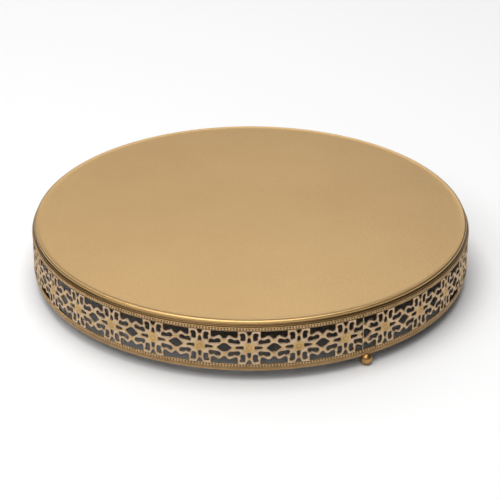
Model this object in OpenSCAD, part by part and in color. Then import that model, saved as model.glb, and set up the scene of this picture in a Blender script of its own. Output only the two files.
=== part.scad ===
// Low round cake stand: a pressed disc with a rolled lip on a lace band, stiffened by two
// wire hoops and carried on three ball feet. The lace's openings are left out of this model,
// so the band is a closed strip with its ribs and buttons.
// Units are millimetres. Z points up, Z = 0 is the table, and the origin is on the stand's axis.
// Angles are measured anticlockwise from +X, and the stand's front faces -Y.

/* [Overall] */
// Diameter of the plate over its rolled lip
plate_d = 356; // [240:1:460]
// Height from the table to the top of the lip
stand_h = 51; // [48:0.5:80]

/* [Top plate] */
// Thickness of the pressed plate
plate_t = 1; // [0.6:0.1:1.5]
// Diameter of the rolled lip's curl
lip_d = 3; // [2.6:0.1:4]
// Height of the lip above the plate's face
lip_rise = 0.4; // [0.2:0.1:0.8]
// Thickness of the metal in the curl
curl_t = 0.7; // [0.5:0.1:0.9]
// Depth of the turned-down skirt below the lip's centre
skirt_depth = 6; // [5.6:0.1:7]
// Thickness of the skirt
skirt_t = 0.8; // [0.5:0.1:1.2]
// Height of the sloping shoulder that joins the skirt to the lip
shoulder_h = 1.6; // [1:0.1:2]

/* [Lace band] */
// Distance that the band stands outside the lip
band_proud = 1.6; // [0.8:0.1:2.4]
// Drop from the lip's centre to the strip's top edge
band_drop = 3.1; // [2.8:0.1:3.6]
// Thickness of the strip
band_t = 0.8; // [0.5:0.1:1.2]
// Height of each beaded border
border_h = 3.1; // [2.6:0.1:4]
// Diameter of the beaded rib along each border
rib_d = 2.2; // [1.6:0.1:2.6]
// Height of the rib above the strip's face
rib_rise = 0.6; // [0.3:0.1:0.7]
// Height of the plain hem under the lower border
hem_h = 2.7; // [2.2:0.1:4]
// Distance that the hem reaches below the base hoop's centre line
hem_wrap = 1.25; // [0.8:0.05:1.6]
// Length of one repeat of the pattern along the strip
motif_pitch = 37.6; // [30:0.1:45]
// Diameter of the button at the middle of each motif
button_d = 3.4; // [2.4:0.1:4.4]
// Height of the button above the strip's face
button_rise = 0.5; // [0.3:0.1:0.7]

/* [Lap seam] */
// Angle of the strip's outer end
seam_angle = -61.6; // [-180:0.1:180]
// Length of the inner end that is lapped behind the outer end
lap_length = 9; // [6:0.5:12]
// Depth that the lapped end is welded into the back of the strip
lap_weld = 0.05; // [0.03:0.01:0.1]
// Height trimmed off each edge of the lapped end
lap_trim = 0.4; // [0.2:0.1:1]
// Gap between the outer end and the strip that comes round to it
seam_gap = 0.4; // [0.2:0.1:0.8]
// Length from the outer end to the middle of the first motif
first_motif = 21.1; // [19:0.1:24]

/* [Hoops and feet] */
// Diameter of the upper hoop's wire
upper_wire_d = 2.6; // [2:0.1:3]
// Diameter of the base hoop's wire
base_wire_d = 3.5; // [3:0.1:4]
// Diameter of each ball foot
ball_d = 10; // [8:0.5:14]
// Depth that the base hoop is let into each ball
saddle_depth = 1.4; // [1:0.1:1.8]
// Distance that each ball stands outside the base hoop's centre line
foot_out = 0.8; // [0:0.1:1.2]
// Angle of the front foot
front_foot_angle = -60; // [-80:0.5:-40]
// Angle of the back foot
back_foot_angle = 58; // [40:0.5:80]
// Angle of the left foot
left_foot_angle = 176; // [160:0.5:200]

/* [Clearances] */
// Radial gap between the skirt and the lace strip
skirt_gap = 0.3; // [0.1:0.05:0.4]
// Film of solder between a hoop and what it is joined to
solder_gap = 0.04; // [0.02:0.01:0.08]

/* [Hidden] */
$fn = 96;

// Heights and radii of the plate and the strip
lip_r = plate_d / 2 - lip_d / 2;
lip_z = stand_h - lip_d / 2;
plate_top = stand_h - lip_rise;
band_outer = plate_d / 2 + band_proud;
band_mid = band_outer - band_t / 2;
band_top = lip_z - band_drop;
base_z = ball_d - saddle_depth + base_wire_d / 2;
band_bottom = base_z - hem_wrap;
hem_top = band_bottom + hem_h;
open_bottom = hem_top + border_h;
open_top = band_top - border_h;
open_mid = (open_top + open_bottom) / 2;
skirt_outer = band_outer - band_t - skirt_gap;
skirt_bottom = lip_z - skirt_depth;
shoulder_top = lip_z - lip_d / 2 + curl_t;

// The upper hoop lies inside the skirt's lower edge
upper_r = skirt_outer - skirt_t - upper_wire_d / 2 - solder_gap;
upper_z = skirt_bottom + upper_wire_d / 2;

// The base hoop lies against the hem's inner face
base_r = band_outer - band_t - base_wire_d / 2 - solder_gap;

// Angles along the strip, counted from its outer end
function arc(length) = length / band_mid * 180 / PI;
pitch_angle = arc(motif_pitch);
motif_count = round(360 / pitch_angle);
first_angle = arc(first_motif);
lap_angle = arc(lap_length);
gap_angle = arc(seam_gap);

// Colours
plate_colour = [0.78, 0.67, 0.48];
lace_colour = [0.63, 0.52, 0.40];
hoop_colour = [0.46, 0.38, 0.24];
foot_colour = [0.72, 0.54, 0.32];

// A section drawn against the strip's outer face, bent from one angle along the strip to another
module bent(from, to)
    rotate([0, 0, from])
        rotate_extrude(angle = to - from)
            translate([band_outer, 0])
                children();

// The strip's section, with its back against the hoops and a rib along each border
module strip_section() {
    translate([-band_t, band_bottom]) square([band_t, band_top - band_bottom]);
    for (z = [band_top - border_h / 2, hem_top + border_h / 2])
        intersection() {
            translate([rib_rise - rib_d / 2, z]) circle(d = rib_d);
            translate([-band_t / 2, z - rib_d / 2]) square([band_t + rib_rise, rib_d]);
        }
}

// The inner end of the strip, carried on behind the outer end and trimmed so that it doesn't show
module lapped_end()
    bent(360 - lap_angle, 360 + lap_angle)
        translate([lap_weld - 2 * band_t, band_bottom + lap_trim])
            square([band_t, band_top - band_bottom - 2 * lap_trim]);

// The button at the middle of a motif
module button(angle)
    rotate([0, 0, angle])
        translate([band_mid, 0, open_mid])
            rotate([0, 90, 0])
                cylinder(d = button_d, h = band_t / 2 + button_rise);

module lace_band()
    color(lace_colour)
        rotate([0, 0, seam_angle]) {
            bent(0, 360 - gap_angle) strip_section();
            lapped_end();
            for (i = [0:motif_count - 2])
                button(first_angle + i * pitch_angle);
        }

module top_plate()
    color(plate_colour)
        rotate_extrude() {
            translate([0, plate_top - plate_t]) square([lip_r, plate_t]);
            polygon([[lip_r - skirt_t, plate_top - plate_t], [lip_r - skirt_t, shoulder_top],
                     [skirt_outer - skirt_t, shoulder_top - shoulder_h], [skirt_outer - skirt_t, skirt_bottom],
                     [skirt_outer, skirt_bottom], [skirt_outer, shoulder_top - shoulder_h],
                     [lip_r, shoulder_top], [lip_r, plate_top - plate_t]]);
            translate([lip_r, lip_z])
                difference() {
                    circle(d = lip_d);
                    circle(d = lip_d - 2 * curl_t);
                    translate([0, -lip_d]) square([curl_t, lip_d]);
                }
        }

module wire_hoop(r, d, z)
    translate([0, 0, z])
        rotate_extrude()
            translate([r, 0]) circle(d = d);

module upper_hoop()
    color(hoop_colour) wire_hoop(upper_r, upper_wire_d, upper_z);

module base_hoop()
    color(hoop_colour) wire_hoop(base_r, base_wire_d, base_z);

module ball_foot(angle)
    color(foot_colour)
        difference() {
            rotate([0, 0, angle]) translate([base_r + foot_out, 0, ball_d / 2]) sphere(d = ball_d);
            wire_hoop(base_r, base_wire_d + 2 * solder_gap, base_z);
        }

top_plate();
upper_hoop();
lace_band();
base_hoop();
ball_foot(front_foot_angle);  // foot_front
ball_foot(left_foot_angle);  // foot_left
ball_foot(back_foot_angle);  // foot_back
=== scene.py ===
import math

import bpy
import numpy as np
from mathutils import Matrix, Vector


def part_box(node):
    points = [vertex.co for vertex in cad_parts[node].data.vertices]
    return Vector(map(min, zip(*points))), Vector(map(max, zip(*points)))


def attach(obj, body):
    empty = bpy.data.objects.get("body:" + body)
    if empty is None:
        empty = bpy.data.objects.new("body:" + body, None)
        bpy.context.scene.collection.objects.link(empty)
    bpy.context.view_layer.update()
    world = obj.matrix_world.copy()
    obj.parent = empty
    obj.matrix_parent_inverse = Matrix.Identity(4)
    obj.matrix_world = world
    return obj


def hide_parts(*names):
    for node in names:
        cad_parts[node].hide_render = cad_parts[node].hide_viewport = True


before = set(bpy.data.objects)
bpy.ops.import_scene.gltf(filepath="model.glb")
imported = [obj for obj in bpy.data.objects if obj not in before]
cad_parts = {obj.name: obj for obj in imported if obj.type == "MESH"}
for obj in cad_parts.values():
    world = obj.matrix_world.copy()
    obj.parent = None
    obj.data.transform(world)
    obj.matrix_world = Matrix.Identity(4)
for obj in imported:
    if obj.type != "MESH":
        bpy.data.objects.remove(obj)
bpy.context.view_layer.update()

MM = 0.001

# ---------------------------------------------------------------- sizes, in mm, from the frame
plate_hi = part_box("top_plate")[1]
band_lo, band_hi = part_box("lace_band")
hoop_lo, hoop_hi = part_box("base_hoop")
upper_lo, upper_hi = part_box("upper_hoop")
STAND_H = plate_hi[2] / MM
RIB_R = band_hi[1] / MM                  # outside of the beads
BAND_R = RIB_R - 0.6                     # outer face of the strip
BAND_T = 0.8
STRIP_MID = BAND_R - BAND_T / 2          # middle of the strip's thickness
LIP_R = BAND_R - 3.1                     # centre of the rolled lip
LIP_RADIUS = 1.5
LIP_Z = STAND_H - LIP_RADIUS
PLATE_TOP = STAND_H - 0.4
PLATE_T = 1.0
SKIRT_R = BAND_R - BAND_T - 0.3          # outer face of the skirt under the lip
SKIRT_T = 0.8
BAND_TOP = band_hi[2] / MM
BAND_BOTTOM = band_lo[2] / MM
HEM_TOP = BAND_BOTTOM + 2.7
BORDER = 3.1
OPEN_TOP = BAND_TOP - BORDER
OPEN_BOTTOM = HEM_TOP + BORDER
OPEN_MID = (OPEN_TOP + OPEN_BOTTOM) / 2
PITCH = math.radians(12.02)              # one repeat of the pattern
SEAM = math.radians(-61.6)               # outer end of the strip
FIRST = 21.1 / STRIP_MID                 # from the outer end to the first motif's centre
LAP = 9.0 / STRIP_MID                    # reach of the inner end to each side of the seam
LAP_INSET = BAND_T + 0.04                # depth of the lapped end behind the strip's face
GAP = 0.4 / STRIP_MID                    # between the strip's two ends, seen from outside
PLAIN_END = 1.1 / STRIP_MID              # plain metal left at the outer end
FULL_TURN = 2 * math.pi
RING_STEPS = 300                         # steps round the plate and the strip
LAP_STEPS = 16

# The base hoop's wire, and the balls that it is let into
WIRE_RADIUS = (hoop_hi[2] - hoop_lo[2]) / MM / 2
WIRE_Z = (hoop_hi[2] + hoop_lo[2]) / MM / 2
WIRE_RING = hoop_hi[1] / MM - WIRE_RADIUS
BALL_RADIUS = 5.0
SADDLE_GAP = 0.03
FOOT_R = (hoop_hi[1] - (hoop_hi[2] - hoop_lo[2]) / 2) / MM + 0.8
FOOT_ANGLES = {"foot_front": math.radians(-60), "foot_left": math.radians(176), "foot_back": math.radians(58)}


# ---------------------------------------------------------------- materials
def material(name, metallic, roughness, **sockets):
    mat = bpy.data.materials.new(name)
    mat.use_nodes = True
    tree = mat.node_tree
    shader = tree.nodes["Principled BSDF"]
    shader.inputs["Metallic"].default_value = metallic
    shader.inputs["Roughness"].default_value = roughness
    for key, value in sockets.items():
        shader.inputs[key.replace("_", " ")].default_value = value
    return mat, tree, shader


def node(tree, kind, **settings):
    """A new node, with each setting put on the socket or the property of that name."""
    made = tree.nodes.new(kind)
    for key, value in settings.items():
        if key in made.inputs:
            made.inputs[key].default_value = value
        else:
            setattr(made, key, value)
    return made


def noise(tree, coords, scale, detail=3.0, rough=0.55):
    made = node(tree, "ShaderNodeTexNoise", Scale=scale, Detail=detail, Roughness=rough)
    tree.links.new(coords, made.inputs["Vector"])
    return made.outputs["Fac"]


def ramp(tree, fac, stops):
    made = tree.nodes.new("ShaderNodeValToRGB")
    while len(made.color_ramp.elements) < len(stops):
        made.color_ramp.elements.new(0.5)
    for element, (pos, colour) in zip(made.color_ramp.elements, stops):
        element.position = pos
        element.color = colour if len(colour) == 4 else (*colour, 1)
    tree.links.new(fac, made.inputs["Fac"])
    return made.outputs["Color"]


def mix(tree, fac, a, b, mode="MIX"):
    made = node(tree, "ShaderNodeMix", data_type="RGBA", blend_type=mode)
    for socket, value in ((made.inputs[0], fac), (made.inputs[6], a), (made.inputs[7], b)):
        if isinstance(value, bpy.types.NodeSocket):
            tree.links.new(value, socket)
        else:
            socket.default_value = value
    return made.outputs[2]


def spread(tree, fac, low, high, from_low=0.0, from_high=1.0):
    made = tree.nodes.new("ShaderNodeMapRange")
    made.inputs["From Min"].default_value = from_low
    made.inputs["From Max"].default_value = from_high
    made.inputs["To Min"].default_value = low
    made.inputs["To Max"].default_value = high
    tree.links.new(fac, made.inputs["Value"])
    return made.outputs["Result"]


def bump(tree, height, strength, distance, under=None):
    made = node(tree, "ShaderNodeBump", Strength=strength, Distance=distance)
    tree.links.new(height, made.inputs["Height"])
    if under is not None:
        tree.links.new(under, made.inputs["Normal"])
    return made.outputs["Normal"]


def srgb(r, g, b):
    """A screen colour, 0 to 255, as the linear colour that the shaders take."""
    return tuple((c / 255 / 12.92) if c / 255 <= 0.04045 else ((c / 255 + 0.055) / 1.055) ** 2.4
                 for c in (r, g, b))


def plate_material():
    mat, tree, shader = material("satin_gold_plate", 1.0, 0.4, Coat_Weight=0.8, Coat_Roughness=0.34)
    coords = node(tree, "ShaderNodeTexCoord").outputs["Object"]
    grain = noise(tree, coords, 1500.0, 4.0, 0.6)
    peel = noise(tree, coords, 420.0, 2.0)
    cloud = noise(tree, coords, 9.0, 3.0)
    speck = noise(tree, coords, 2600.0, 2.0)
    shade = node(tree, "ShaderNodeAttribute", attribute_name="painted_crease_shade").outputs["Fac"]
    base = ramp(tree, cloud, [(0.3, srgb(203, 163, 100)), (0.7, srgb(210, 171, 108))])
    # Painted shade: the crease attribute darkens the crease under the lip and the skirt toward this brown.
    base = mix(tree, shade, base, (*srgb(150, 112, 58), 1))
    flakes = ramp(tree, speck, [(0.35, (0.80, 0.79, 0.76)), (0.5, (1, 1, 1)), (0.66, (1.0, 1.0, 1.0))])
    colour = mix(tree, 0.85, base, flakes, "MULTIPLY")
    tree.links.new(colour, shader.inputs["Base Color"])
    tree.links.new(spread(tree, grain, 0.34, 0.47, 0.3, 0.7), shader.inputs["Roughness"])
    normal = bump(tree, peel, 0.26, 0.0005)
    normal = bump(tree, grain, 0.3, 0.00015, normal)
    tree.links.new(normal, shader.inputs["Normal"])
    return mat


def underside_material():
    mat, tree, shader = material("gold_underside_painted_shade", 0.7, 0.6)
    coords = node(tree, "ShaderNodeTexCoord").outputs["Object"]
    cloud = noise(tree, coords, 30.0, 4.0)
    fine = noise(tree, coords, 1200.0, 3.0)
    # Painted shade: this dark gold stands in for the shade inside the stand.
    colour = ramp(tree, cloud, [(0.3, srgb(70, 56, 36)), (0.7, srgb(92, 75, 48))])
    tree.links.new(colour, shader.inputs["Base Color"])
    tree.links.new(spread(tree, fine, 0.5, 0.7, 0.3, 0.7), shader.inputs["Roughness"])
    tree.links.new(bump(tree, fine, 0.2, 0.00015), shader.inputs["Normal"])
    return mat


def lace_material():
    mat, tree, shader = material("antique_gold_lace", 0.85, 0.42)
    coords = node(tree, "ShaderNodeTexCoord").outputs["Object"]
    rub_and_painted_light = node(tree, "ShaderNodeAttribute", attribute_name="rub_and_painted_light").outputs["Fac"]
    knot = node(tree, "ShaderNodeAttribute", attribute_name="knot").outputs["Fac"]
    blotch = noise(tree, coords, 130.0, 4.0)
    fine = noise(tree, coords, 1400.0, 4.0, 0.65)
    # Colour follows the painted brightness: dark on strand edges and the strip's back (painted shade), light
    # on the crowns (partly rubbed antique finish, partly painted highlight).
    strand = ramp(tree, rub_and_painted_light, [(0.0, srgb(70, 52, 34)), (0.3, srgb(158, 132, 100)),
                                 (0.7, srgb(206, 180, 150)), (1.0, srgb(224, 199, 166))])
    gold = ramp(tree, rub_and_painted_light, [(0.0, srgb(88, 62, 32)), (0.4, srgb(168, 130, 78)),
                               (1.0, srgb(212, 178, 122))])
    colour = mix(tree, knot, strand, gold)
    tarnish = ramp(tree, blotch, [(0.32, (0.62, 0.56, 0.46)), (0.6, (1, 1, 1))])
    colour = mix(tree, 0.55, colour, tarnish, "MULTIPLY")
    pits = ramp(tree, fine, [(0.34, (0.66, 0.62, 0.56)), (0.5, (1, 1, 1))])
    colour = mix(tree, 0.6, colour, pits, "MULTIPLY")
    tree.links.new(colour, shader.inputs["Base Color"])
    tree.links.new(spread(tree, fine, 0.36, 0.58, 0.3, 0.7), shader.inputs["Roughness"])
    tree.links.new(bump(tree, fine, 0.3, 0.00018), shader.inputs["Normal"])
    return mat


def hoop_material():
    mat, tree, shader = material("dark_gold_wire", 0.9, 0.45)
    coords = node(tree, "ShaderNodeTexCoord").outputs["Object"]
    blotch = noise(tree, coords, 160.0, 4.0)
    fine = noise(tree, coords, 1500.0, 3.0)
    colour = ramp(tree, blotch, [(0.3, srgb(96, 74, 40)), (0.5, srgb(128, 104, 64)),
                                 (0.72, srgb(150, 126, 84))])
    tree.links.new(colour, shader.inputs["Base Color"])
    tree.links.new(spread(tree, fine, 0.36, 0.6, 0.3, 0.7), shader.inputs["Roughness"])
    tree.links.new(bump(tree, fine, 0.25, 0.00015), shader.inputs["Normal"])
    return mat


def foot_material():
    mat, tree, shader = material("polished_gold_ball", 1.0, 0.28)
    coords = node(tree, "ShaderNodeTexCoord").outputs["Object"]
    cloud = noise(tree, coords, 260.0, 3.0)
    fine = noise(tree, coords, 1700.0, 4.0, 0.6)
    colour = ramp(tree, cloud, [(0.3, srgb(160, 118, 70)), (0.7, srgb(196, 152, 98))])
    tree.links.new(colour, shader.inputs["Base Color"])
    tree.links.new(spread(tree, fine, 0.22, 0.38, 0.3, 0.7), shader.inputs["Roughness"])
    tree.links.new(bump(tree, fine, 0.12, 0.0001), shader.inputs["Normal"])
    return mat


def floor_material():
    mat, tree, shader = material("pale_floor", 0.0, 0.7, Specular_IOR_Level=0.2)
    shader.inputs["Base Color"].default_value = (0.9, 0.9, 0.9, 1)
    return mat


PLATE = plate_material()
UNDERSIDE = underside_material()
LACE = lace_material()
HOOP = hoop_material()
FOOT = foot_material()


# ---------------------------------------------------------------- mesh helpers
def add_piece(name, verts, faces, mat, replaced=(), sharp=40.0, attributes=None):
    """Makes a piece of the object from points in mm."""
    mesh = bpy.data.meshes.new(name)
    mesh.from_pydata((np.asarray(verts, dtype=float) * MM).tolist(), [], faces)
    mesh.validate()
    mesh.update()
    for key, values in (attributes or {}).items():
        layer = mesh.attributes.new(key, "FLOAT", "POINT")
        layer.data.foreach_set("value", np.asarray(values, dtype=np.float32))
    mesh.shade_smooth()
    mesh.set_sharp_from_angle(angle=math.radians(sharp))
    mesh.materials.append(mat)
    obj = bpy.data.objects.new(name, mesh)
    bpy.context.scene.collection.objects.link(obj)
    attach(obj, "root")
    if replaced:
        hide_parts(*replaced)
    return obj


def lathe(profile, steps, start=0.0, sweep=FULL_TURN):
    """Turns a closed outline of (radius, height) points round Z, a full turn or a sweep with ends."""
    outline = np.asarray(profile, dtype=float)
    count = len(outline)
    full = abs(sweep - FULL_TURN) < 1e-9
    rings = steps if full else steps + 1
    angles = start + sweep * np.arange(rings) / steps
    verts = np.empty((rings, count, 3))
    verts[:, :, 0] = np.cos(angles)[:, None] * outline[None, :, 0]
    verts[:, :, 1] = np.sin(angles)[:, None] * outline[None, :, 0]
    verts[:, :, 2] = outline[None, :, 1]
    faces = []
    for i in range(steps):
        j = (i + 1) % rings
        for k in range(count):
            m = (k + 1) % count
            faces.append((i * count + k, j * count + k, j * count + m, i * count + m))
    if not full:
        faces.append(tuple(range(count)))
        faces.append(tuple(range(steps * count + count - 1, steps * count - 1, -1)))
    return verts.reshape(-1, 3), faces


def arc_points(r, z, radius, start, end, steps):
    """Points along an arc round (r, z), between two angles in degrees."""
    turn = np.radians(np.linspace(start, end, steps + 1))
    return [(r + radius * math.cos(t), z + radius * math.sin(t)) for t in turn]


# ---------------------------------------------------------------- plate
def make_plate():
    inner_rings = [170.0, 150.0, 120.0, 80.0, 40.0, 12.0]
    under_z = PLATE_TOP - PLATE_T
    skirt_back = SKIRT_R - SKIRT_T
    outline = [(LIP_R - back, PLATE_TOP + up) for back, up in
               ((3.4, 0.0), (2.6, 0.02), (2.0, 0.07), (1.5, 0.14), (1.0, 0.23), (0.6, 0.32), (0.25, 0.38))]
    outline += arc_points(LIP_R, LIP_Z, LIP_RADIUS, 90, -58, 13)
    outline += [(LIP_R + 0.85, LIP_Z - 1.12), (LIP_R + 1.2, LIP_Z - 1.45), (SKIRT_R - 0.25, LIP_Z - 2.0),
                (SKIRT_R - 0.04, LIP_Z - 2.3), (SKIRT_R, LIP_Z - 2.7), (SKIRT_R, LIP_Z - 5.9),
                (SKIRT_R - 0.1, LIP_Z - 6.0), (SKIRT_R - 0.7, LIP_Z - 6.0), (skirt_back, LIP_Z - 5.9),
                (skirt_back, LIP_Z - 2.5), (LIP_R - 0.2, LIP_Z - 1.2), (LIP_R - 0.8, LIP_Z - 0.6),
                (LIP_R - 0.8, under_z)]
    steps = RING_STEPS
    angles = FULL_TURN * np.arange(steps) / steps
    rings = [(r, PLATE_TOP) for r in reversed(inner_rings)] + outline
    rings += [(r, under_z) for r in inner_rings]
    verts = [(0.0, 0.0, PLATE_TOP)]
    for r, z in rings:
        verts += [(r * math.cos(a), r * math.sin(a), z) for a in angles]
    verts.append((0.0, 0.0, under_z))
    faces = []
    last = len(rings) - 1
    for i in range(steps):
        j = (i + 1) % steps
        faces.append((0, 1 + i, 1 + j))
        for k in range(last):
            here, after = 1 + k * steps, 1 + (k + 1) * steps
            faces.append((here + i, after + i, after + j, here + j))
        faces.append((len(verts) - 1, 1 + last * steps + j, 1 + last * steps + i))
    # Painted shade: the crease under the lip and the skirt are darkened where shade falls; the underside is
    # dull and painted dark as shade for the inside of the stand.
    crease_at = np.array([0.0] + [np.interp(LIP_Z - z, (0.5, 1.4), (0, 1)) for _, z in rings] + [0.0])
    painted_crease_shade = np.concatenate([crease_at[:1], np.repeat(crease_at[1:-1], steps), crease_at[-1:]]) * 0.85
    plate = add_piece("plate_with_rolled_lip", verts, faces, PLATE, ("top_plate",), sharp=55,
                      attributes={"painted_crease_shade": painted_crease_shade})
    plate.data.materials.append(UNDERSIDE)
    hidden = np.array([face.normal.z < -0.5 or (face.center.xy.length < (SKIRT_R - 0.5) * MM and
                                                face.center.z < (PLATE_TOP - 0.5) * MM)
                       for face in plate.data.polygons])
    outside = np.array([face.center.xy.length > (SKIRT_R - 0.5) * MM or face.center.z > (LIP_Z - 1.7) * MM and
                        face.center.xy.length > (LIP_R + 0.3) * MM for face in plate.data.polygons])
    plate.data.polygons.foreach_set("material_index", (hidden & ~outside).astype(np.int32))
    return plate


# ---------------------------------------------------------------- lace pattern
DRAWN_PITCH, DRAWN_H = 37.4, 28.3
HALF = DRAWN_PITCH / 2
TOP = DRAWN_H / 2 + 1.5                  # openings at the border run a little past it


def mirrored(points, x=1, y=1):
    return [(px * x, py * y) for px, py in points]


def both_sides(points):
    return points + [(-x, y) for x, y in reversed(points)]


PETAL = [(-0.35, 8.6), (-1.2, 5.5), (-0.9, 4.6), (0.9, 4.6), (1.2, 5.5), (0.35, 8.6)]
WEDGE = [(-0.4, 10.8), (0.4, 10.8), (2.0, DRAWN_H / 2), (2.05, TOP), (-2.05, TOP), (-2.0, DRAWN_H / 2)]
KIDNEY = [(3.2, 7.0), (3.8, 6.3), (5.6, 6.3), (6.2, 7.0), (6.2, 7.8), (5.5, 8.8), (5.9, 9.7), (6.6, 10.4),
          (6.6, 11.6), (6.1, 12.1), (3.9, 12.1), (3.4, 11.4)]
SLOT = [(4.5, -0.8), (5.0, -1.2), (6.4, -0.7), (9.4, -0.6), (9.8, 0.0), (9.4, 0.6), (6.4, 0.7), (5.0, 1.2),
        (4.5, 0.8)]
BEAN = [(6.7, 3.6), (9.2, 3.4), (11.0, 4.0), (14.4, 4.0), (15.4, 4.7), (15.6, 6.4), (14.6, 7.3), (13.0, 7.1),
        (11.4, 5.8), (10.4, 5.8), (9.0, 6.7), (8.0, 6.6)]
STAR_SIDE = [(-5.6, 0.0), (-4.0, 0.8), (-3.2, 1.6), (-1.6, 3.0), (-0.5, 3.4)]
WINDOW_SIDE = [(-9.7, TOP), (-9.7, 8.7), (-8.1, 8.7), (-6.1, 9.9), (-4.5, 10.8), (-3.1, 10.8), (-1.8, 9.8),
               (-0.6, 8.0)]


def rounded(points, cut):
    """An outline with each corner cut off twice, never by more than the given length."""
    for reach in (cut, cut / 2):
        corners = np.asarray(points, dtype=float)
        points = []
        for before, here, after in zip(np.roll(corners, 1, axis=0), corners, np.roll(corners, -1, axis=0)):
            for other in (before, after):
                away = other - here
                length = max(float(np.hypot(*away)), 1e-9)
                points.append(here + away * min(0.3, reach / length))
    return points


def openings():
    """The openings of one repeat, from half a repeat before a motif's centre to half a repeat after it."""
    found = []
    for up in (-1, 1):
        found.append(mirrored(PETAL, 1, up))
        found.append(mirrored(WEDGE, 1, up))
        for side in (-1, 1):
            found.append(mirrored(KIDNEY, side, up))
            found.append(mirrored(BEAN, side, up))
        for centre in (-HALF, HALF):
            found.append([(x + centre, y * up) for x, y in both_sides(WINDOW_SIDE)])
    for side in (-1, 1):
        found.append(mirrored(SLOT, side, 1))
    star = both_sides(STAR_SIDE[1:])
    star = [STAR_SIDE[0]] + star + [(5.6, 0.0)] + [(-x, -y) for x, y in star]
    for centre in (-HALF, HALF):
        found.append([(x + centre, y) for x, y in star])
    return found


def signed_distance(points, polygon):
    """Distance from each point to a polygon's edge, negative inside it."""
    corners = np.asarray(polygon, dtype=float)
    nearest = np.full(len(points), 1e9)
    inside = np.zeros(len(points), dtype=bool)
    for a, b in zip(corners, np.roll(corners, -1, axis=0)):
        edge = b - a
        along = np.clip(((points - a) @ edge) / max(edge @ edge, 1e-12), 0, 1)
        nearest = np.minimum(nearest, np.hypot(*(points - a - along[:, None] * edge).T))
        crosses = (a[1] > points[:, 1]) != (b[1] > points[:, 1])
        rise = b[1] - a[1] if abs(b[1] - a[1]) > 1e-12 else 1e-12
        inside ^= crosses & (points[:, 0] < (b[0] - a[0]) * (points[:, 1] - a[1]) / rise + a[0])
    return np.where(inside, -nearest, nearest)


COLUMNS = 58                             # grid columns in one repeat
ROWS = 44                                # grid rows over the openwork


def motif_field():
    """Width of metal to the nearest opening, over one repeat, on the grid: [column, row]."""
    x = (np.arange(COLUMNS) / COLUMNS - 0.5) * DRAWN_PITCH
    y = (np.arange(-2, ROWS + 3) / ROWS - 0.5) * DRAWN_H
    points = np.stack(np.meshgrid(x, y, indexing="ij"), axis=-1).reshape(-1, 2)
    field = np.full(len(points), 1e9)
    for polygon in openings():
        field = np.minimum(field, signed_distance(points, rounded(polygon, 1.1)))
    field = field.reshape(COLUMNS, ROWS + 5)
    field = 0.15 * np.roll(field, 1, axis=0) + 0.7 * field + 0.15 * np.roll(field, -1, axis=0)
    field[:, 1:-1] = 0.15 * field[:, :-2] + 0.7 * field[:, 1:-1] + 0.15 * field[:, 2:]
    return field[:, 2:-2] - 0.24


FIELD = motif_field()


STRAND_EDGE = -0.38                      # height of a strand at its edge, in mm from the strip's face
STRAND_WIDTH = 1.05                      # a strand reaches its full height this far from an opening
BUTTON_R = 1.75                          # the button at the middle of a motif
BOSS_R = 4.3                             # the round boss that carries it
HIGHEST = 0.58                           # nothing in the pattern stands higher than this
NOWHERE = -9                             # a height that loses against every other
# Places where the strands swell: each (x, y, size), from a motif's centre.
SWELLINGS = ((11.3, 0, 1.7), (-11.3, 0, 1.7), (HALF, 5.6, 1.9), (-HALF, 5.6, 1.9), (HALF, -5.6, 1.9),
             (-HALF, -5.6, 1.9), (0, 9.6, 1.3), (0, -9.6, 1.3), (8.2, 11.4, 1.2), (-8.2, 11.4, 1.2),
             (8.2, -11.4, 1.2), (-8.2, -11.4, 1.2))


def relief_at(d, x, y):
    """(height above the strip's face in mm, knot strength) where x, y are in the repeat's own mm."""
    t = np.clip(d / STRAND_WIDTH, 0, 1)
    height = STRAND_EDGE + 0.7 * np.sqrt(1 - (1 - t) ** 2)
    rho = np.hypot(x, y)
    ring = 0.12 + 0.36 * np.sqrt(np.clip(1 - ((rho - 3.15) / 1.15) ** 2, 0, 1))
    button = 0.05 + 0.52 * np.sqrt(np.clip(1 - (rho / BUTTON_R) ** 2, 0, 1))
    groove = np.where(rho < 2.25, 0.02, NOWHERE)
    around = np.where(rho < BOSS_R, np.maximum(ring, groove), NOWHERE)
    boss = np.maximum(np.where(rho < BUTTON_R, button, around), STRAND_EDGE)
    height = np.where(rho < BOSS_R, np.minimum(boss, height + 0.35 + (rho < 4.0) * 1.0), height)
    knot = np.clip((5.4 - rho) / 1.6, 0, 1)
    for kx, ky, size in SWELLINGS:
        away = np.hypot(x - kx, y - ky) / size
        height = height + 0.2 * np.sqrt(np.clip(1 - away ** 2, 0, 1)) * np.clip(d / 0.8, 0, 1)
        knot = np.maximum(knot, np.clip(1.5 - 1.2 * away, 0, 1))
    return np.minimum(height, HIGHEST), knot


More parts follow.
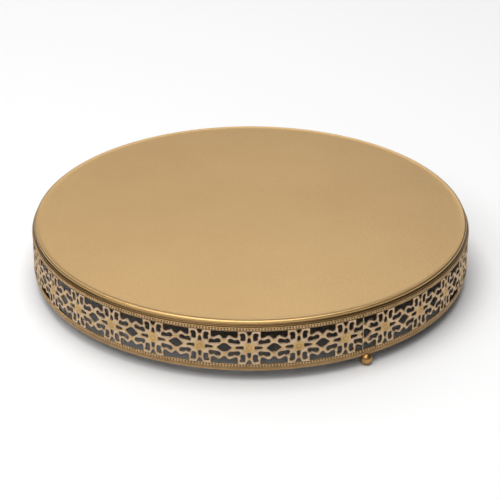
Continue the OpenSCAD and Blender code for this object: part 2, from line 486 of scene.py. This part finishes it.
def openwork(start, end, inset, plain_end, flat=False):
    """A closed sheet of the pattern between two angles along the strip: (points, faces, brightness from
    rubbing and painted light, knot).
    """
    step = PITCH / COLUMNS
    first = math.floor((start - FIRST) / step)
    last = math.ceil((end - FIRST) / step)
    columns = np.arange(first, last + 1)
    along = np.clip(FIRST + columns * step, start, end)
    phase = (along - FIRST) / step + COLUMNS / 2
    low = np.floor(phase).astype(int)
    part = (phase - low)[:, None]
    field = FIELD[low % COLUMNS] * (1 - part) + FIELD[(low + 1) % COLUMNS] * part
    if plain_end:
        field = np.maximum(field, ((start + PLAIN_END - along) * BAND_R)[:, None])
    field = np.where(np.abs(field) < 0.05, 0.05, field)
    height = OPEN_BOTTOM + (OPEN_TOP - OPEN_BOTTOM) * np.arange(ROWS + 1) / ROWS
    u, v, d, faces, seen = [], [], [], [], {}

    def corner(i, j):
        key = (i, j)
        if key not in seen:
            seen[key] = len(u)
            u.append(along[i])
            v.append(height[j])
            d.append(field[i, j])
        return seen[key]

    def crossing(i, j, m, n):
        key = (i, j, m, n) if (i, j) < (m, n) else (m, n, i, j)
        if key not in seen:
            seen[key] = len(u)
            t = field[i, j] / (field[i, j] - field[m, n])
            u.append(along[i] + (along[m] - along[i]) * t)
            v.append(height[j] + (height[n] - height[j]) * t)
            d.append(0.0)
        return seen[key]

    metal = field > 0
    for i in range(len(columns) - 1):
        if along[i + 1] - along[i] < 1e-7:
            continue
        for j in range(ROWS):
            ring = ((i, j), (i + 1, j), (i + 1, j + 1), (i, j + 1))
            solid = [metal[c] for c in ring]
            if all(solid):
                faces.append([corner(*c) for c in ring])
            elif any(solid):
                loop = []
                for k in range(4):
                    here, after = ring[k], ring[(k + 1) % 4]
                    if metal[here]:
                        loop.append(corner(*here))
                    if metal[here] != metal[after]:
                        loop.append(crossing(*here, *after))
                faces.append(loop)
    u, v, d = np.array(u), np.array(v), np.array(d)
    x = ((u - FIRST) / PITCH + 0.5) % 1.0 * DRAWN_PITCH - HALF
    y = (v - OPEN_MID) / (OPEN_TOP - OPEN_BOTTOM) * DRAWN_H
    rise, knot = relief_at(d, x, y)
    if flat:
        rise = np.minimum(rise * 0.3 - 0.05, 0)
    front_r = BAND_R - inset + rise
    back_r = np.full(len(u), BAND_R - inset - BAND_T + 0.02)
    angle = SEAM + u
    front = np.stack([np.cos(angle) * front_r, np.sin(angle) * front_r, v], axis=1)
    back = np.stack([np.cos(angle) * back_r, np.sin(angle) * back_r, v], axis=1)
    count = len(u)
    used = {(a, b): True for loop in faces for a, b in zip(loop, loop[1:] + loop[:1])}
    walls = [(b, a, a + count, b + count) for a, b in used if (b, a) not in used]
    whole = faces + [[k + count for k in reversed(loop)] for loop in faces] + walls
    # Painted light: the front is lighter the higher it stands (partly rubbed finish, partly painted
    # highlight); the back gets 0, painted shade.
    shade = np.clip((rise - STRAND_EDGE) / 0.85, 0, 1)
    rub_and_painted_light = np.concatenate([shade, shade * 0])
    return np.concatenate([front, back]), whole, rub_and_painted_light, np.concatenate([knot, knot * 0])


def joined(parts):
    """Several (points, faces, brightness from rubbing and painted light, knot) as one."""
    points, faces, rub_and_painted_light, knot = [], [], [], []
    count = 0
    for p, f, r, k in parts:
        faces += [[n + count for n in loop] for loop in f]
        points.append(p)
        rub_and_painted_light.append(r)
        knot.append(k)
        count += len(p)
    return np.concatenate(points), faces, np.concatenate(rub_and_painted_light), np.concatenate(knot)


def make_openwork():
    points, faces, rub_and_painted_light, knot = joined([
        openwork(0.0, FULL_TURN - GAP, 0.0, True),
        openwork(FULL_TURN - LAP, FULL_TURN + LAP, LAP_INSET, False, flat=True)])
    return add_piece("lace_openwork", points, faces, LACE, ("lace_band",), sharp=62,
                     attributes={"rub_and_painted_light": rub_and_painted_light, "knot": knot})


BEADS_PER_REPEAT = 16


def solid_strip(outline, shade, lap_share, knot):
    """An outline bent into the strip, with its lapped end: (points, faces, brightness from rubbing and
    painted light, knot).
    """
    main = lathe(outline, RING_STEPS, SEAM, FULL_TURN - GAP)
    tail = lathe([(r - LAP_INSET, z) for r, z in outline], LAP_STEPS, SEAM + FULL_TURN - LAP, 2 * LAP)
    parts = []
    for (points, faces), share in ((main, 1.0), (tail, lap_share)):
        # The lapped end gets only lap_share of the brightness: painted shade behind the strip's outer end.
        rub_and_painted_light = np.tile(np.array(shade) * share, len(points) // len(outline))
        parts.append((points, faces, rub_and_painted_light, np.full(len(points), knot)))
    return joined(parts)


def border_outline(top):
    """Outline of a border's channel, with a fine raised line along each side of the beads."""
    bottom = top - BORDER
    r = BAND_R
    return [(r - BAND_T, top), (r - BAND_T, bottom), (r - 0.12, bottom), (r, bottom + 0.1), (r, bottom + 0.3),
            (r - 0.45, bottom + 0.5), (r - 0.5, bottom + 0.9), (r - 0.5, top - 0.9), (r - 0.45, top - 0.5),
            (r, top - 0.3), (r, top - 0.1), (r - 0.12, top)]


def border_rub_and_light(outline):
    """How bright each point of a border's outline is painted: painted shade behind, brightest on the raised
    lines, partly their rubbed finish and partly painted highlight.
    """
    return [0.0 if r < BAND_R - 0.7 else 0.3 + 0.5 * (r > BAND_R - 0.3) for r, _ in outline]


def make_border(name, top):
    outline = border_outline(top)
    points, faces, rub_and_painted_light, knot = solid_strip(outline, border_rub_and_light(outline), 0.6, 0.7)
    return add_piece(name, points, faces, LACE, sharp=30, attributes={"rub_and_painted_light": rub_and_painted_light, "knot": knot})


def make_beads(name, z):
    """A row of stamped beads, each a low dome that stands on the floor of the border's channel."""
    pitch = PITCH / BEADS_PER_REPEAT
    angles = np.arange(0.6 * pitch, FULL_TURN - GAP - 0.4 * pitch, pitch)
    base_r, rise = BAND_R - 0.5, 1.09
    half_w, half_h = 1.16, 1.12
    sides = 8
    levels = (0.0, 0.42, 0.78)
    verts, faces, rub_and_painted_light = [], [], []
    for angle in angles:
        a = SEAM + angle
        out = np.array([math.cos(a), math.sin(a), 0.0])
        side = np.array([-math.sin(a), math.cos(a), 0.0])
        first = len(verts)
        for level in levels:
            spread_by = math.sqrt(1 - level ** 2)
            for k in range(sides):
                t = FULL_TURN * (k + 0.5) / sides
                point = out * (base_r + rise * level) + side * (half_w * spread_by * math.cos(t))
                verts.append(point + np.array([0, 0, z + half_h * spread_by * math.sin(t)]))
                # Each bead is painted lighter towards its top: partly rubbed finish, partly painted
                # highlight.
                rub_and_painted_light.append(0.35 + 0.65 * level)
        verts.append(out * (base_r + rise) + np.array([0, 0, z]))
        rub_and_painted_light.append(1.0)
        for level in range(len(levels) - 1):
            for k in range(sides):
                m = (k + 1) % sides
                low, high = first + level * sides, first + (level + 1) * sides
                faces.append((low + k, low + m, high + m, high + k))
        high = first + (len(levels) - 1) * sides
        faces += [(high + k, high + (k + 1) % sides, len(verts) - 1) for k in range(sides)]
        faces.append(tuple(first + k for k in reversed(range(sides))))
    return add_piece(name, verts, faces, LACE, sharp=70,
                     attributes={"rub_and_painted_light": rub_and_painted_light, "knot": np.full(len(verts), 0.6)})


def make_hem():
    r, z = BAND_R, HEM_TOP
    outline = [(r - BAND_T, z), (r - BAND_T, BAND_BOTTOM + 0.08), (r - BAND_T + 0.08, BAND_BOTTOM),
               (r - 0.42, BAND_BOTTOM), (r - 0.28, BAND_BOTTOM + 0.12), (r - 0.16, BAND_BOTTOM + 1.3),
               (r - 0.1, z - 0.3), (r - 0.12, z)]
    # Painted brightness of the hem's outline: darkest on the inner face (painted shade), lightest at the
    # lower outer corner (painted highlight).
    shade = [0.2, 0.1, 0.1, 0.5, 0.6, 0.45, 0.3, 0.3]
    points, faces, rub_and_painted_light, knot = solid_strip(outline, shade, 1.0, 0.6)
    return add_piece("lace_hem", points, faces, LACE, sharp=35,
                     attributes={"rub_and_painted_light": rub_and_painted_light, "knot": knot})


# ---------------------------------------------------------------- hoops and feet
def make_hoop(name, node_name, lo, hi, steps):
    """A wire hoop that fills the box of its CAD node."""
    radius = (hi[2] - lo[2]) / MM / 2
    centre_r = hi[1] / MM - radius
    centre_z = (hi[2] + lo[2]) / MM / 2
    outline = arc_points(centre_r, centre_z, radius, 0, 360, 14)[:-1]
    points, faces = lathe(outline, steps)
    return add_piece(name, points, faces, HOOP, (node_name,), sharp=60)


def make_foot(node_name):
    radius = BALL_RADIUS
    angle = FOOT_ANGLES[node_name]
    cx, cy = math.cos(angle) * FOOT_R, math.sin(angle) * FOOT_R
    verts, faces = [], []
    rings, sides = 20, 32
    verts.append((cx, cy, 0.0))
    for i in range(1, rings):
        t = math.pi * i / rings
        for k in range(sides):
            a = FULL_TURN * k / sides
            verts.append((cx + radius * math.sin(t) * math.cos(a), cy + radius * math.sin(t) * math.sin(a),
                          radius - radius * math.cos(t)))
    verts.append((cx, cy, 2 * radius))
    verts = np.array(verts)
    # The saddle: points inside the wire are pushed down onto its underside.
    ring_r = np.hypot(verts[:, 0], verts[:, 1])
    reach = WIRE_RADIUS + SADDLE_GAP
    away = np.hypot(ring_r - WIRE_RING, verts[:, 2] - WIRE_Z)
    under = WIRE_Z - np.sqrt(np.clip(reach ** 2 - (ring_r - WIRE_RING) ** 2, 0, None))
    verts[:, 2] = np.where(away < reach, np.minimum(verts[:, 2], under), verts[:, 2])
    for k in range(sides):
        m = (k + 1) % sides
        faces.append((0, 1 + m, 1 + k))
        faces.append((len(verts) - 1, 1 + (rings - 2) * sides + k, 1 + (rings - 2) * sides + m))
        for i in range(rings - 2):
            low, high = 1 + i * sides, 1 + (i + 1) * sides
            faces.append((low + k, low + m, high + m, high + k))
    return add_piece("ball_" + node_name, verts, faces, FOOT, (node_name,), sharp=60)


make_plate()
make_openwork()
make_border("upper_border", BAND_TOP)
make_border("lower_border", HEM_TOP + BORDER)
make_beads("upper_beads", BAND_TOP - BORDER / 2)
make_beads("lower_beads", HEM_TOP + BORDER / 2)
make_hem()
make_hoop("upper_wire_hoop", "upper_hoop", upper_lo, upper_hi, 200)
make_hoop("base_wire_hoop", "base_hoop", hoop_lo, hoop_hi, 240)
for foot in FOOT_ANGLES:
    make_foot(foot)


# ---------------------------------------------------------------- floor, lights and camera
FLOOR_HALF = 6.0                         # metres, from here on
LIGHTS_AIM = (0.0, 0.0, 0.03)
CAMERA_AIM = (-0.00041, 0.0, 0.01765)
CAMERA_DISTANCE = 1.65
CAMERA_ELEVATION = 0.4861                # radians
CAMERA_LENS = 142.3


def make_floor():
    mesh = bpy.data.meshes.new("floor")
    size = FLOOR_HALF
    corners = [(-size, -size, 0), (size, -size, 0), (size, size, 0), (-size, size, 0)]
    mesh.from_pydata(corners, [], [(0, 1, 2, 3)])
    mesh.materials.append(floor_material())
    floor = bpy.data.objects.new("floor", mesh)
    bpy.context.scene.collection.objects.link(floor)


def make_light(name, place, size, energy):
    """A white softbox, turned towards the stand."""
    light = bpy.data.lights.new(name, "AREA")
    light.shape = "RECTANGLE"
    light.size, light.size_y = size
    light.energy = energy
    lamp = bpy.data.objects.new(name, light)
    bpy.context.scene.collection.objects.link(lamp)
    lamp.location = place
    away = np.array(place) - np.array(LIGHTS_AIM)
    flat = math.hypot(away[0], away[1])
    lamp.rotation_euler = (math.atan2(flat, away[2]), 0, math.atan2(away[0], -away[1]))


def make_world():
    world = bpy.data.worlds.new("studio")
    world.use_nodes = True
    background = world.node_tree.nodes["Background"]
    background.inputs["Color"].default_value = (1, 1, 1, 1)
    background.inputs["Strength"].default_value = 0.08
    bpy.context.scene.world = world


def make_lights():
    make_light("back_softbox", (-0.6, 2.3, 2.1), (2.9, 1.6), 20)
    make_light("top_softbox", (-0.14, 0.0, 2.5), (2.4, 2.0), 51)
    make_light("front_softbox", (-0.6, -2.1, 2.1), (2.6, 1.6), 30)
    make_light("left_softbox", (-1.9, -0.9, 2.0), (1.2, 1.2), 12)


def make_camera():
    camera = bpy.data.objects.new("camera", bpy.data.cameras.new("camera"))
    bpy.context.scene.collection.objects.link(camera)
    x, y, z = CAMERA_AIM
    camera.location = (x, y - CAMERA_DISTANCE * math.cos(CAMERA_ELEVATION),
                       z + CAMERA_DISTANCE * math.sin(CAMERA_ELEVATION))
    camera.rotation_euler = (math.pi / 2 - CAMERA_ELEVATION, 0, 0)
    camera.data.sensor_width = 36
    camera.data.lens = CAMERA_LENS
    camera.data.clip_start = 0.05
    camera.data.clip_end = 50
    bpy.context.scene.camera = camera


make_floor()
make_world()
make_lights()
bpy.context.scene.view_settings.view_transform = "Standard"
bpy.context.scene.view_settings.look = "None"
make_camera()
